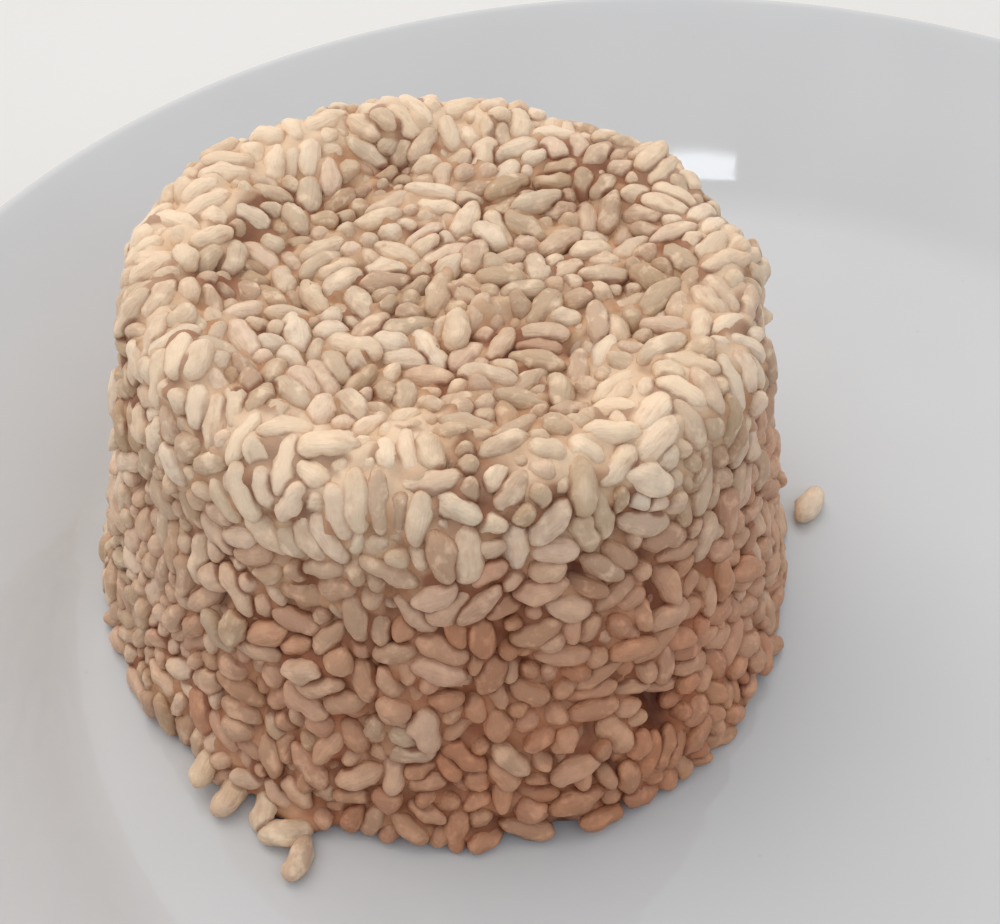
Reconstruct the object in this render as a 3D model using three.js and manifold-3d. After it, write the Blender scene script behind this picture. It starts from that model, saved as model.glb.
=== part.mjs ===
// A moulded mound of cooked brown rice, turned out on a round white plate, with a few grains that came loose.
// Millimetres, +Z up. The origin is on the table, under the middle of the plate, and +Y points to its far side.
import * as THREE from "three";
import { ConvexHull } from "three/addons/math/ConvexHull.js";
import { mergeVertices } from "three/addons/utils/BufferGeometryUtils.js";
import Module from "manifold-3d";

const wasm = await Module();
wasm.setup();

// ---- Driving dimensions

// Plate: a flat well, a soft bend and a wide sloping rim, on a foot ring.
const PLATE_R = 120;
const PLATE_HEIGHT = 24;
const WELL_R = 81;
const WELL_Z = 5.5;
const RIM_START = new THREE.Vector2(87.5, 7.3);
const RIM_THICKNESS = 3.4;
const FOOT_R = 66;
const FOOT_WIDTH = 5;
const FOOT_DEPTH = 2.2;
const PLATE_SIDES = 60;

// Mound: a cup-shaped mould leaves a tapered wall, a rounded shoulder and a slightly dished top.
const MOUND_X = -36;
const MOUND_Y = 6.5;
const MOUND_HEIGHT = 50;
const MOUND_TOP_R = 37.6;
const MOUND_FOOT_R = 45;
const SHOULDER_R = 5.5;
const DISH_DEPTH = 2.4;
const DISH_R = 21;

// It came out of the mould a little uneven. Each pair holds how far the foot or the top swells out, in millimetres,
// as the shares of the cosine and the sine of once, twice and three times the angle round the axis.
const FOOT_SWELL = [
  [1.4, -1.2],
  [0, 1.3],
  [-1.5, 0.6],
];
const TOP_SWELL = [
  [0.2, 0.7],
  [0, -0.7],
  [-0.2, 0.4],
];

// Places where it bulges further: x, y and z from the mound's axis, how far round, and how much.
const BULGES = [
  [-31, 21, 46, 10, 1.5],
  [-25, -38, 3, 9, 2.2],
  [30, -34, 4, 13, 1.3],
  [26, 24, 46, 9, 0.8],
];

// Cooked grains of rice.
const GRAIN_LENGTH = 6.6;
const GRAIN_WIDTH = 3.15;
const GRAIN_THICKNESS = 2.8;

// Pressed grains cover the whole mound, as low bumps with a valley all round each.
const PRESSED_GRAINS = 790;
const RIDGE_DEPTH = 0.2;
const VALLEY_DEPTH = 1.8;
const DEPTH_SPREAD = 0.35;
const LEAST_RIDGE = 0.25;
const SETTLING_PASSES = 40;

// Proud grains stand out of that cover, tilted a little.
const PROUD_GRAINS = 42;
const PROUD_TILT = THREE.MathUtils.degToRad(24);
const PROUD_SINK = 0.5;

// Grains that came loose at the foot, measured from the mound's axis: x, y, height of the middle, heading in degrees.
const SPILLED_GRAINS = [
  [-28.4, -36.4, 2.9, 75],
  [-25.0, -39.8, 1.6, 60],
  [-20.8, -41.7, 1.5, 88],
  [-18.1, -44.9, 1.45, 5],
  [-16.3, -48.1, 1.42, 75],
];
const LOOSE_GRAIN = [49.6, 8.9, 1.42, 62];

const SEED = 20;
const UP = new THREE.Vector3(0, 0, 1);

// ---- Helpers

// A repeatable random number generator, giving numbers from 0 to 1.
function seededRandom(seed) {
  let state = seed >>> 0;
  return () => {
    state = (state + 0x6d2b79f5) >>> 0;
    let t = Math.imul(state ^ (state >>> 15), state | 1);
    t ^= t + Math.imul(t ^ (t >>> 7), t | 61);
    return ((t ^ (t >>> 14)) >>> 0) / 4294967296;
  };
}

const random = seededRandom(SEED);
const either = (amount) => (random() * 2 - 1) * amount;

function solidFrom(geometry) {
  const bare = new THREE.BufferGeometry();
  bare.setAttribute("position", geometry.getAttribute("position"));
  bare.setIndex(geometry.index);
  const merged = mergeVertices(bare, 1e-4);
  return new wasm.Manifold(
    new wasm.Mesh({
      numProp: 3,
      vertProperties: new Float32Array(merged.attributes.position.array),
      triVerts: new Uint32Array(merged.index.array),
    }),
  );
}

function geometryFrom(solid) {
  const mesh = solid.getMesh();
  const geometry = new THREE.BufferGeometry();
  geometry.setAttribute("position", new THREE.BufferAttribute(mesh.vertProperties, 3));
  geometry.setIndex(new THREE.BufferAttribute(mesh.triVerts, 1));
  return geometry;
}

// ---- Plate

// Half of the plate's section, from the axis under the foot, round the rim's edge, to the axis on the well.
function plateSection() {
  const edge = RIM_THICKNESS / 2;
  const slope = Math.atan2(PLATE_HEIGHT - RIM_START.y, PLATE_R - RIM_START.x);
  const edgeCentre = new THREE.Vector2(PLATE_R - edge, PLATE_HEIGHT - edge);
  const section = new THREE.Path();
  section.moveTo(0, FOOT_DEPTH);
  section.lineTo(FOOT_R - FOOT_WIDTH, FOOT_DEPTH);
  section.lineTo(FOOT_R - FOOT_WIDTH + 0.8, 0);
  section.lineTo(FOOT_R, 0);
  section.lineTo(FOOT_R + 1.2, FOOT_DEPTH);
  section.bezierCurveTo(
    FOOT_R + 13, FOOT_DEPTH + 0.1,
    RIM_START.x - 2, RIM_START.y - 4.85,
    RIM_START.x + 4, RIM_START.y - 1.77,
  );
  section.lineTo(
    edgeCentre.x + edge * Math.sin(slope),
    edgeCentre.y - edge * Math.cos(slope),
  );
  section.absarc(edgeCentre.x, edgeCentre.y, edge, slope - Math.PI / 2, slope + Math.PI / 2, false);
  section.lineTo(RIM_START.x, RIM_START.y);
  section.bezierCurveTo(
    RIM_START.x - 2.5, RIM_START.y - 1.28,
    WELL_R + 2, WELL_Z,
    WELL_R, WELL_Z,
  );
  section.lineTo(0, WELL_Z);
  return section.getPoints(4);
}

function makePlate() {
  const geometry = new THREE.LatheGeometry(plateSection(), PLATE_SIDES);
  geometry.rotateX(Math.PI / 2);
  return geometry;
}

// ---- The mound's smooth outer surface

// Seen from its heart, the mound shows every point of its surface once, so a direction picks a point on it.
const HEART = new THREE.Vector3(0, 0, MOUND_HEIGHT * 0.46);

// Half of the mound's outline, from the middle of the dished top to the foot.
function moundOutline() {
  const taper = Math.atan2(MOUND_FOOT_R - MOUND_TOP_R, MOUND_HEIGHT);
  const crest = MOUND_TOP_R - SHOULDER_R;
  const outline = new THREE.Path();
  outline.moveTo(0, MOUND_HEIGHT - DISH_DEPTH);
  outline.lineTo(DISH_R, MOUND_HEIGHT - DISH_DEPTH);
  outline.bezierCurveTo(
    DISH_R + 5, MOUND_HEIGHT - DISH_DEPTH,
    crest - 5, MOUND_HEIGHT,
    crest, MOUND_HEIGHT,
  );
  outline.absarc(crest, MOUND_HEIGHT - SHOULDER_R, SHOULDER_R, Math.PI / 2, taper, true);
  outline.lineTo(MOUND_FOOT_R, 0);
  return outline.getSpacedPoints(400);
}

// Steps along the outline, each with its angle from straight up as the heart sees it, and the area down to it.
function outlineSteps() {
  const outline = moundOutline();
  let area = 0;
  return outline.map((point, i) => {
    const before = outline[Math.max(0, i - 1)];
    const after = outline[Math.min(outline.length - 1, i + 1)];
    area += Math.PI * (point.x + before.x) * point.distanceTo(before);
    return {
      point,
      area,
      polar: Math.atan2(point.x, point.y - HEART.z),
      normal: new THREE.Vector2(before.y - after.y, after.x - before.x).normalize(),
    };
  });
}

const STEPS = outlineSteps();
const MOUND_AREA = STEPS.at(-1).area;

// The point, and the way out, where a direction from the heart meets the mound's surface.
function surfaceAlong(direction) {
  const polar = direction.angleTo(UP);
  let low = 0;
  let high = STEPS.length - 1;
  while (high - low > 1) {
    const middle = (low + high) >> 1;
    if (STEPS[middle].polar < polar) low = middle;
    else high = middle;
  }
  const share = THREE.MathUtils.clamp(
    (polar - STEPS[low].polar) / (STEPS[high].polar - STEPS[low].polar), 0, 1,
  );
  const outline = STEPS[low].point.clone().lerp(STEPS[high].point, share);
  const across = new THREE.Vector2(direction.x, direction.y).normalize();
  const normal = STEPS[low].normal.clone().lerp(STEPS[high].normal, share).normalize();
  return {
    point: new THREE.Vector3(across.x * outline.x, across.y * outline.x, outline.y),
    normal: new THREE.Vector3(across.x * normal.x, across.y * normal.x, normal.y),
  };
}

const seenFromHeart = (point) => point.clone().sub(HEART).normalize();

const swellOf = (shares, angle) =>
  shares.reduce((sum, [c, s], i) => sum + c * Math.cos((i + 1) * angle) + s * Math.sin((i + 1) * angle), 0);

const bulgeAt = (point) =>
  BULGES.reduce((sum, [x, y, z, reach, amount]) => {
    const away = point.distanceTo(new THREE.Vector3(x, y, z));
    return sum + amount * Math.exp(-((away / reach) ** 2));
  }, 0);

// Moves a point of the round form to where it lies on the uneven one.
function swollen(point) {
  const angle = Math.atan2(point.y, point.x);
  const height = point.z / MOUND_HEIGHT;
  const shaped = THREE.MathUtils.lerp(swellOf(FOOT_SWELL, angle), swellOf(TOP_SWELL, angle), height);
  const swell = shaped + bulgeAt(point);
  const stretch = 1 + swell / Math.max(Math.hypot(point.x, point.y), MOUND_TOP_R);
  return new THREE.Vector3(point.x * stretch, point.y * stretch, point.z);
}

// Directions spread evenly over the mound's area, on a spiral that a random draw loosens.
function evenDirections(count, looseness) {
  const golden = Math.PI * (3 - Math.sqrt(5));
  return Array.from({ length: count }, (_, i) => {
    const wanted = ((i + 0.5) / count) * MOUND_AREA;
    const step = STEPS.find((s) => s.area >= wanted);
    const angle = i * golden;
    const point = new THREE.Vector3(
      Math.cos(angle) * step.point.x,
      Math.sin(angle) * step.point.x,
      step.point.y,
    );
    point.add(new THREE.Vector3(either(looseness), either(looseness), either(looseness)));
    return seenFromHeart(point);
  });
}

// ---- Pressed grains

// Each lies flat on the mound's surface, and is held as its two ends.
function scatterPressedGrains() {
  return evenDirections(PRESSED_GRAINS, 1.2).map((direction) => {
    const { point, normal } = surfaceAlong(direction);
    const along = new THREE.Vector3(either(1), either(1), either(1));
    along.projectOnPlane(normal).setLength(GRAIN_LENGTH * (0.24 + either(0.03)));
    return { ends: [point.clone().add(along), point.clone().sub(along)], half: along.length() };
  });
}

// Moves ends that crowd each other apart, then lays every grain back on the surface at its own length.
function settle(grains, spacing) {
  const ends = grains.flatMap((grain, g) => grain.ends.map((end) => ({ end, g })));
  const push = new THREE.Vector3();
  for (let pass = 0; pass < SETTLING_PASSES; pass += 1) {
    for (let i = 0; i < ends.length; i += 1) {
      for (let j = i + 1; j < ends.length; j += 1) {
        if (ends[i].g === ends[j].g) continue;
        push.subVectors(ends[i].end, ends[j].end);
        const distance = push.length();
        if (distance >= spacing) continue;
        push.multiplyScalar((0.3 * (spacing - distance)) / distance);
        ends[i].end.add(push);
        ends[j].end.sub(push);
      }
    }
    for (const grain of grains) {
      const [a, b] = grain.ends;
      const middle = a.clone().add(b).multiplyScalar(0.5);
      middle.z = Math.max(middle.z, GRAIN_WIDTH * 0.4);
      const { point, normal } = surfaceAlong(seenFromHeart(middle));
      const along = a.clone().sub(b).projectOnPlane(normal).setLength(grain.half);
      a.copy(point).add(along);
      b.copy(point).sub(along);
      a.z = Math.max(a.z, GRAIN_WIDTH * 0.3);
      b.z = Math.max(b.z, GRAIN_WIDTH * 0.3);
    }
  }
}

// ---- The mound's cover of pressed grains

// A site is an end of a grain, as a direction from the heart. The plate under the mound counts as one more grain.
const PLATE_SIDE = -1;

function coverSites(grains) {
  const sites = grains.flatMap((grain, g) =>
    grain.ends.map((end) => ({ direction: seenFromHeart(end), grain: g })),
  );
  const under = 90;
  for (let i = 0; i < under; i += 1) {
    const angle = (i / under) * 2 * Math.PI;
    const point = new THREE.Vector3(Math.cos(angle), Math.sin(angle), 0);
    point.multiplyScalar(MOUND_FOOT_R).setZ(-GRAIN_WIDTH * 0.6);
    sites.push({ direction: seenFromHeart(point), grain: PLATE_SIDE });
  }
  sites.push({ direction: UP.clone().negate(), grain: PLATE_SIDE });
  return sites;
}

// The hull of the sites' directions joins each site with its neighbours. Each face of it is a corner where
// sites meet. Each edge between two grains is a stretch of the valley between them, from corner to corner.
function hullOf(sites) {
  const hull = new ConvexHull().setFromPoints(sites.map((site) => site.direction));
  const siteAt = new Map(sites.map((site) => [site.direction, site]));
  const corners = new Map(
    hull.faces.map((face) => [
      face,
      {
        direction: face.normal.clone().normalize(),
        sites: [0, 1, 2].map((i) => siteAt.get(face.getEdge(i).head().point)),
      },
    ]),
  );
  return hull.faces.flatMap((face) =>
    [0, 1, 2].map((i) => {
      const edge = face.getEdge(i);
      return {
        site: siteAt.get(edge.head().point),
        neighbour: siteAt.get(edge.tail().point),
        corner: corners.get(face),
        next: corners.get(edge.twin.face),
      };
    }),
  );
}

// A grain keeps its ridge where the line between its ends passes between the corners beside it. Any other
// grain is crossed by a neighbour, and its second end counts as a grain by itself.
function splitCrossedGrains(edges, sites) {
  const whole = new Set();
  for (const { site, neighbour, corner, next } of edges) {
    if (site.grain !== neighbour.grain) continue;
    const ridge = new THREE.Vector3().crossVectors(site.direction, neighbour.direction);
    if (ridge.dot(corner.direction) * ridge.dot(next.direction) < 0) whole.add(site.grain);
  }
  const seen = new Set();
  sites.forEach((site, i) => {
    if (site.grain === PLATE_SIDE || whole.has(site.grain)) return;
    if (seen.has(site.grain)) site.grain = PRESSED_GRAINS + i;
    seen.add(site.grain);
  });
}

// The valley round each grain: a map from each of its corners to the next one and to the end that it passes.
function valleysRound(edges) {
  const valleys = new Map();
  for (const { site, neighbour, corner, next } of edges) {
    if (site.grain === neighbour.grain) continue;
    if (!valleys.has(site.grain)) valleys.set(site.grain, new Map());
    valleys.get(site.grain).set(corner, { next, site });
  }
  return valleys;
}

// A corner that only two grains share is skipped where the valley can run straight past it.
function straighten(corner, valleys) {
  const [left, right, third] = new Set(corner.sites.map((site) => site.grain));
  if (third !== undefined || left === undefined || right === undefined) return;
  const ahead = valleys.get(left).get(corner).next;
  const behind = valleys.get(right).get(corner).next;
  if (ahead.skipped || behind.skipped) return;
  const across = new THREE.Vector3().crossVectors(behind.direction, ahead.direction).normalize();
  const side = Math.sign(across.dot(corner.sites.find((site) => site.grain === left).direction));
  corner.skipped = [...corner.sites, ...ahead.sites, ...behind.sites].every((site) => {
    const offset = side * across.dot(site.direction) * MOUND_FOOT_R;
    if (site.grain === left) return offset > LEAST_RIDGE;
    return site.grain !== right || offset < -LEAST_RIDGE;
  });
}

// Follows the valley round a grain. Each stop is a corner, with the ends that the valley passes before and after it.
function roundOf(valley) {
  const stops = [];
  let [corner] = valley.keys();
  do {
    const { next, site } = valley.get(corner);
    stops.push({ corner, after: site });
    corner = next;
  } while (corner !== stops[0].corner);
  stops.forEach((stop, i) => {
    stop.before = stops.at(i - 1).after;
  });
  return stops.filter((stop) => !stop.corner.skipped);
}

// Places a corner in the valley, or on the flat underside where it meets the plate.
function cornerPlace(corner) {
  const { point, normal } = surfaceAlong(corner.direction);
  if (corner.sites.some((site) => site.grain === PLATE_SIDE)) {
    return point.setZ(0).setLength(MOUND_FOOT_R - 1.1 + either(0.5));
  }
  return point.addScaledVector(normal, -VALLEY_DEPTH + either(DEPTH_SPREAD));
}

// Places an end of a grain on its ridge. Some grains lie deeper than others, and some with one end up.
function ridgePlace(site, depths) {
  if (!depths.has(site.grain)) depths.set(site.grain, RIDGE_DEPTH + either(DEPTH_SPREAD));
  const { point, normal } = surfaceAlong(site.direction);
  return point.addScaledVector(normal, -depths.get(site.grain) + either(DEPTH_SPREAD));
}

// The whole cover as one closed surface: each grain is a ridge between its ends, with faces down to its valley.
function coverGeometry(grains) {
  const sites = coverSites(grains);
  const edges = hullOf(sites);
  splitCrossedGrains(edges, sites);
  const valleys = valleysRound(edges);
  for (const { corner } of edges) {
    if (!corner.skipped) straighten(corner, valleys);
  }

  const vertices = [];
  const numbers = new Map();
  const depths = new Map();
  const numberOf = (key, place) => {
    if (!numbers.has(key)) {
      numbers.set(key, vertices.length);
      vertices.push(place());
    }
    return numbers.get(key);
  };
  const ofCorner = (corner) => numberOf(corner, () => cornerPlace(corner));
  const ofSite = (site) => numberOf(site, () => ridgePlace(site, depths));

  const faces = [];
  for (const [grain, valley] of valleys) {
    const round = roundOf(valley);
    round.forEach(({ corner, before, after }, i) => {
      const following = round[(i + 1) % round.length];
      const here = ofCorner(corner);
      const there = ofCorner(following.corner);
      if (grain === PLATE_SIDE) {
        faces.push(here, there, numberOf(PLATE_SIDE, () => new THREE.Vector3()));
        return;
      }
      if (before !== after) faces.push(here, ofSite(after), ofSite(before));
      faces.push(here, there, ofSite(after));
      if (following.before !== after) faces.push(there, ofSite(following.before), ofSite(after));
    });
  }
  const geometry = new THREE.BufferGeometry().setFromPoints(vertices.map(swollen));
  geometry.setIndex(faces);
  return geometry;
}

// ---- Whole grains

// A grain along X with blunt ends and six sides, a little bent.
function grainGeometry(size) {
  const half = (GRAIN_LENGTH * size) / 2;
  const geometry = new THREE.LatheGeometry(
    [
      new THREE.Vector2(0, -half),
      new THREE.Vector2(0.5, -half * 0.56),
      new THREE.Vector2(0.5, half * 0.56),
      new THREE.Vector2(0, half),
    ],
    6,
  );
  geometry.rotateZ(-Math.PI / 2);
  geometry.scale(1, GRAIN_WIDTH * size, GRAIN_THICKNESS * size);
  const place = geometry.getAttribute("position");
  for (let i = 0; i < place.count; i += 1) {
    place.setY(i, place.getY(i) + 0.35 * (place.getX(i) / half) ** 2);
  }
  return geometry;
}

function grainSolid(position, along, up, size) {
  const x = along.clone().normalize();
  const y = new THREE.Vector3().crossVectors(up, x).normalize();
  const z = new THREE.Vector3().crossVectors(x, y);
  const geometry = grainGeometry(size);
  geometry.applyMatrix4(new THREE.Matrix4().makeBasis(x, y, z).setPosition(position));
  return solidFrom(geometry);
}

function proudGrains() {
  return evenDirections(PROUD_GRAINS, 4).map((direction) => {
    const { point, normal } = surfaceAlong(direction);
    const along = new THREE.Vector3(either(1), either(1), either(1)).projectOnPlane(normal).normalize();
    along.addScaledVector(normal, Math.tan(either(PROUD_TILT))).normalize();
    const size = 1 + either(0.12);
    const reach = (Math.abs(along.z) * GRAIN_LENGTH + GRAIN_THICKNESS) * 0.5 * size;
    point.addScaledVector(normal, -PROUD_SINK + either(0.4));
    point.z = Math.max(point.z, reach + 0.3);
    const up = normal.clone().projectOnPlane(along);
    return grainSolid(swollen(point), along, up, size);
  });
}

// A grain that lies on the plate.
function lyingGrain([x, y, height, heading]) {
  const angle = THREE.MathUtils.degToRad(heading);
  const along = new THREE.Vector3(Math.cos(angle), Math.sin(angle), 0);
  return grainSolid(new THREE.Vector3(x, y, height), along, UP, 1);
}

// ---- The mound

// Joins the grains to the cover, and drops any sealed hollow that this leaves inside.
function makeMound() {
  const grains = scatterPressedGrains();
  settle(grains, Math.sqrt(MOUND_AREA / (2 * PRESSED_GRAINS)) * 1.07);
  const cover = solidFrom(coverGeometry(grains));
  const joined = wasm.Manifold.union([
    cover,
    ...proudGrains(),
    ...SPILLED_GRAINS.map(lyingGrain),
  ]);
  const bodies = joined.decompose().sort((a, b) => b.volume() - a.volume());
  return geometryFrom(bodies[0]);
}

// ---- The object

const porcelain = new THREE.MeshStandardMaterial({ color: 0xdedcda, roughness: 0.18, metalness: 0 });
const cookedRice = new THREE.MeshStandardMaterial({ color: 0xcba98b, roughness: 0.55, metalness: 0, flatShading: true });

function named(name, geometry, material) {
  const mesh = new THREE.Mesh(geometry, material);
  mesh.name = name;
  return mesh;
}

const plate = named("plate", makePlate(), porcelain);
const mound = named("rice_mound", makeMound(), cookedRice);
const looseGrain = named("loose_grain", geometryFrom(lyingGrain(LOOSE_GRAIN)), cookedRice);

const rice = new THREE.Group();
rice.position.set(MOUND_X, MOUND_Y, WELL_Z);
rice.add(mound, looseGrain);

const plateOfRice = new THREE.Group();
plateOfRice.add(plate, rice);

export default plateOfRice;
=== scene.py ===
"""A moulded mound of cooked brown rice on a round white plate, with a few spilled grains.

Everything in the rice is worked out in millimetres, from the mound's axis and the well of the plate.
"""
import math

import bpy
import numpy as np
from mathutils import Matrix, Vector


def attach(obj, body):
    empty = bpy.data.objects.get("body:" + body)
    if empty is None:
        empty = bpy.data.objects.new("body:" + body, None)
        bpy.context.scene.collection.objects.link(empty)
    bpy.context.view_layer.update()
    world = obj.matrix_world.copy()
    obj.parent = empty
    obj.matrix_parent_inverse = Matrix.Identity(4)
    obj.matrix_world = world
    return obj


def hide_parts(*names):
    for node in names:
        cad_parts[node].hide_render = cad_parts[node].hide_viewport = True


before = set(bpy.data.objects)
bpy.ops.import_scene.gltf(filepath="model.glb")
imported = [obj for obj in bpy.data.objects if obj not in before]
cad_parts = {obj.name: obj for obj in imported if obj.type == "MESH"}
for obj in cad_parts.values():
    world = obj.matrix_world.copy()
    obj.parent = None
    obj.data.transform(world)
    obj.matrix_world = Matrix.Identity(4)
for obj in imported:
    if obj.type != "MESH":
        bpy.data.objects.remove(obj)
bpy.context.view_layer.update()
MM = 0.001
TURN = 2 * math.pi

# ---- Sizes, in millimetres

PLATE_R = 120.0
PLATE_HEIGHT = 24.0
WELL_R = 81.0
WELL_Z = 5.5
RIM_START = (87.5, 7.3)
RIM_THICKNESS = 3.4
FOOT_R = 66.0
FOOT_WIDTH = 5.0
FOOT_DEPTH = 2.2

MOUND_X = -36.0
MOUND_Y = 6.5
MOUND_HEIGHT = 50.0
MOUND_TOP_R = 37.6
MOUND_FOOT_R = 45.0
SHOULDER_R = 5.5
DISH_DEPTH = 2.4
DISH_R = 21.0
# How softly the dish rises to the crest, and how far the outline goes on below the foot.
DISH_EASE = 5.0
UNDER_FOOT = 12.0
# How far the foot and the top swell out: shares of the cosine and sine of 1, 2 and 3 times the angle.
FOOT_SWELL = ((1.4, -1.2), (0.0, 1.3), (-1.5, 0.6))
TOP_SWELL = ((0.2, 0.7), (0.0, -0.7), (-0.2, 0.4))

GRAIN_LENGTH = 6.6
GRAIN_WIDTH = 3.5
GRAIN_THICKNESS = 3.0
BALL_R = 1.42
BALLS = np.array([-1.0, -0.34, 0.34, 1.0]) * (GRAIN_LENGTH / 2 - BALL_R)
SHELL_GRAINS = 2400
SHELL_DEPTH = 5.6
BROKEN_SHARE = 0.2
BROKEN_SIZE = (0.55, 0.85)
# How far grains stand out of the heap: on average, and at most.
PROUD = 0.32
PROUD_MOST = 1.3

# Where the heap bulges past its mould: x, y, z, how far round, how much.
BULGES = [
    (-31.0, 21.0, 46.0, 10.0, 1.5),
    (-25.0, -38.0, 3.0, 9.0, 1.2),
    (30.0, -34.0, 4.0, 13.0, 0.4),
    (26.0, 24.0, 46.0, 9.0, 0.8),
]

# Paler places in the heap, most on the crest where the paleness is partly painted light, and places where
# bran stains the gaps: x, y, z, how far round, how much.
PALE_SPOTS = [
    (-2.9, -25.1, 48.4, 5.0, 1.0),
    (19.6, -19.4, 49.2, 6.0, 1.0),
    (-14.0, -29.0, 49.0, 7.0, 0.7),
    (-33.0, 10.0, 48.0, 8.0, 0.8),
    (-22.5, 26.1, 49.4, 5.0, 0.9),
    (1.5, -2.6, 47.6, 6.0, 0.7),
    (-2.0, 15.4, 47.5, 5.0, 0.7),
    (0.1, 31.8, 49.9, 5.0, 0.7),
    (-3.8, -41.7, 15.5, 3.5, 0.5),
]
BROWN_SPOTS = [
    (0.2, -42.2, 12.4, 3.5, 1.1),
    (4.0, -33.5, 48.5, 5.5, 0.9),
    (17.0, 23.5, 49.5, 7.0, 0.9),
    (-26.6, 0.2, 48.7, 5.0, 0.8),
    (9.0, -9.5, 47.5, 4.0, 0.8),
    (14.3, 4.0, 47.5, 5.0, 0.6),
    (4.8, -38.7, 34.8, 6.0, 0.9),
    (-15.3, -37.3, 26.1, 5.0, 0.6),
    (30.0, 12.0, 47.0, 6.0, 0.6),
]

# Spilled and loose grains: x, y, height of the middle, heading in degrees.
SPILLED_GRAINS = [
    (-28.4, -36.4, 2.9, 75.0),
    (-25.0, -39.8, 1.6, 60.0),
    (-20.8, -41.7, 1.5, 88.0),
    (-18.1, -44.9, 1.45, 5.0),
    (-16.3, -48.1, 1.42, 75.0),
]
LOOSE_GRAIN = (49.6, 8.9, 1.42, 62.0)
SPILLED_TINT = -0.3

rng = np.random.default_rng(20)


# ---- The mould's outline

def bezier(p0, p1, p2, p3, steps):
    t = np.linspace(0, 1, steps + 1)[1:, None]
    p0, p1, p2, p3 = (np.array(p, float) for p in (p0, p1, p2, p3))
    return (1 - t) ** 3 * p0 + 3 * (1 - t) ** 2 * t * p1 + 3 * (1 - t) * t ** 2 * p2 + t ** 3 * p3


def arc(centre, radius, start, stop, steps):
    angle = np.linspace(start, stop, steps + 1)
    return np.stack([centre[0] + radius * np.cos(angle), centre[1] + radius * np.sin(angle)], 1)


def mound_outline():
    """Half of the mound's outline as (r, z), from the middle of the dished top to just under the foot."""
    taper = math.atan2(MOUND_FOOT_R - MOUND_TOP_R, MOUND_HEIGHT)
    crest = MOUND_TOP_R - SHOULDER_R
    low = MOUND_HEIGHT - DISH_DEPTH
    return np.concatenate([
        [(0, low), (DISH_R, low)],
        bezier((DISH_R, low), (DISH_R + DISH_EASE, low),
               (crest - DISH_EASE, MOUND_HEIGHT), (crest, MOUND_HEIGHT), 16),
        arc((crest, MOUND_HEIGHT - SHOULDER_R), SHOULDER_R, math.pi / 2, taper, 16)[1:],
        [(MOUND_FOOT_R, 0), (MOUND_FOOT_R + UNDER_FOOT * math.tan(taper), -UNDER_FOOT)],
    ])


class Mould:
    """How far points lie outside the mound's smooth form, from a table of (r, z)."""

    STEP = 0.5
    LOW_Z = -10.0
    REACH = 64

    def __init__(self):
        outline = mound_outline()
        self.r = np.arange(0, self.REACH, self.STEP)
        self.z = np.arange(self.LOW_Z, self.REACH, self.STEP)
        grid = np.stack(np.meshgrid(self.r, self.z, indexing="ij"), -1).reshape(-1, 1, 2)
        start, along = outline[:-1], np.diff(outline, axis=0)
        share = ((grid - start) * along).sum(-1) / (along ** 2).sum(-1)
        nearest = start + share.clip(0, 1)[..., None] * along
        away = np.linalg.norm(grid - nearest, axis=-1).min(1)
        closed = np.concatenate([outline, [(0, outline[-1, 1])]])
        a, b = closed, np.roll(closed, -1, 0)
        g = grid[:, 0]
        crosses = (a[:, 1] > g[:, 1:]) != (b[:, 1] > g[:, 1:])
        level = np.where(a[:, 1] == b[:, 1], 1.0, b[:, 1] - a[:, 1])
        at = a[:, 0] + (g[:, 1:] - a[:, 1]) * (b[:, 0] - a[:, 0]) / level
        inside = (crosses & (g[:, :1] < at)).sum(1) % 2 == 1
        self.table = np.where(inside, -away, away).reshape(len(self.r), len(self.z))
        self.slope_r, self.slope_z = np.gradient(self.table, self.STEP)

    def at(self, points):
        """Each point's distance outside the mould (negative inside), and the way out."""
        r = np.hypot(points[..., 0], points[..., 1]) / lopsided(points)
        u = (r / self.STEP).clip(0, len(self.r) - 1.001)
        v = ((points[..., 2] - self.LOW_Z) / self.STEP).clip(0, len(self.z) - 1.001)
        i, j = u.astype(int), v.astype(int)
        u, v = u - i, v - j

        def read(table):
            return ((1 - u) * (1 - v) * table[i, j] + u * (1 - v) * table[i + 1, j]
                    + (1 - u) * v * table[i, j + 1] + u * v * table[i + 1, j + 1])

        out_r, out_z = read(self.slope_r), read(self.slope_z)
        safe = np.maximum(np.hypot(points[..., 0], points[..., 1]), 1e-6)
        out = np.stack([out_r * points[..., 0] / safe, out_r * points[..., 1] / safe, out_z], -1)
        out /= np.maximum(np.linalg.norm(out, axis=-1, keepdims=True), 1e-6)
        return read(self.table) - swell(points), out


def lopsided(points):
    """How much wider the mound is than its round form, by direction and height."""
    angle = np.arctan2(points[..., 1], points[..., 0])
    foot, top = (
        sum(c * np.cos(k * angle) + s * np.sin(k * angle) for k, (c, s) in enumerate(shares, 1))
        for shares in (FOOT_SWELL, TOP_SWELL)
    )
    out = foot + (top - foot) * points[..., 2] / MOUND_HEIGHT
    return 1 + out / np.maximum(np.hypot(points[..., 0], points[..., 1]), MOUND_TOP_R)


# Slow waves through the heap, as directions over wavelengths in millimetres.
SWELL_COUNT = 9
SWELL_WAYS = rng.normal(size=(SWELL_COUNT, 3))
SWELL_WAYS /= np.linalg.norm(SWELL_WAYS, axis=1, keepdims=True)
SWELL_WAYS *= (TURN / rng.uniform(8, 26, SWELL_COUNT))[:, None]
SWELL_PHASES = rng.uniform(0, TURN, SWELL_COUNT)
SWELL_EVERYWHERE = 0.3
SWELL_HEIGHT = 0.2
SLUMP = 0.5
SLUMP_HEIGHT = 7.0


def around(points, places):
    """The sum of soft spots, each given as x, y, z, how far round and how much."""
    total = np.zeros(points.shape[:-1])
    for x, y, z, reach, much in places:
        total += much * np.exp(-((points - (x, y, z)) ** 2).sum(-1) / reach ** 2)
    return total


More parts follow.
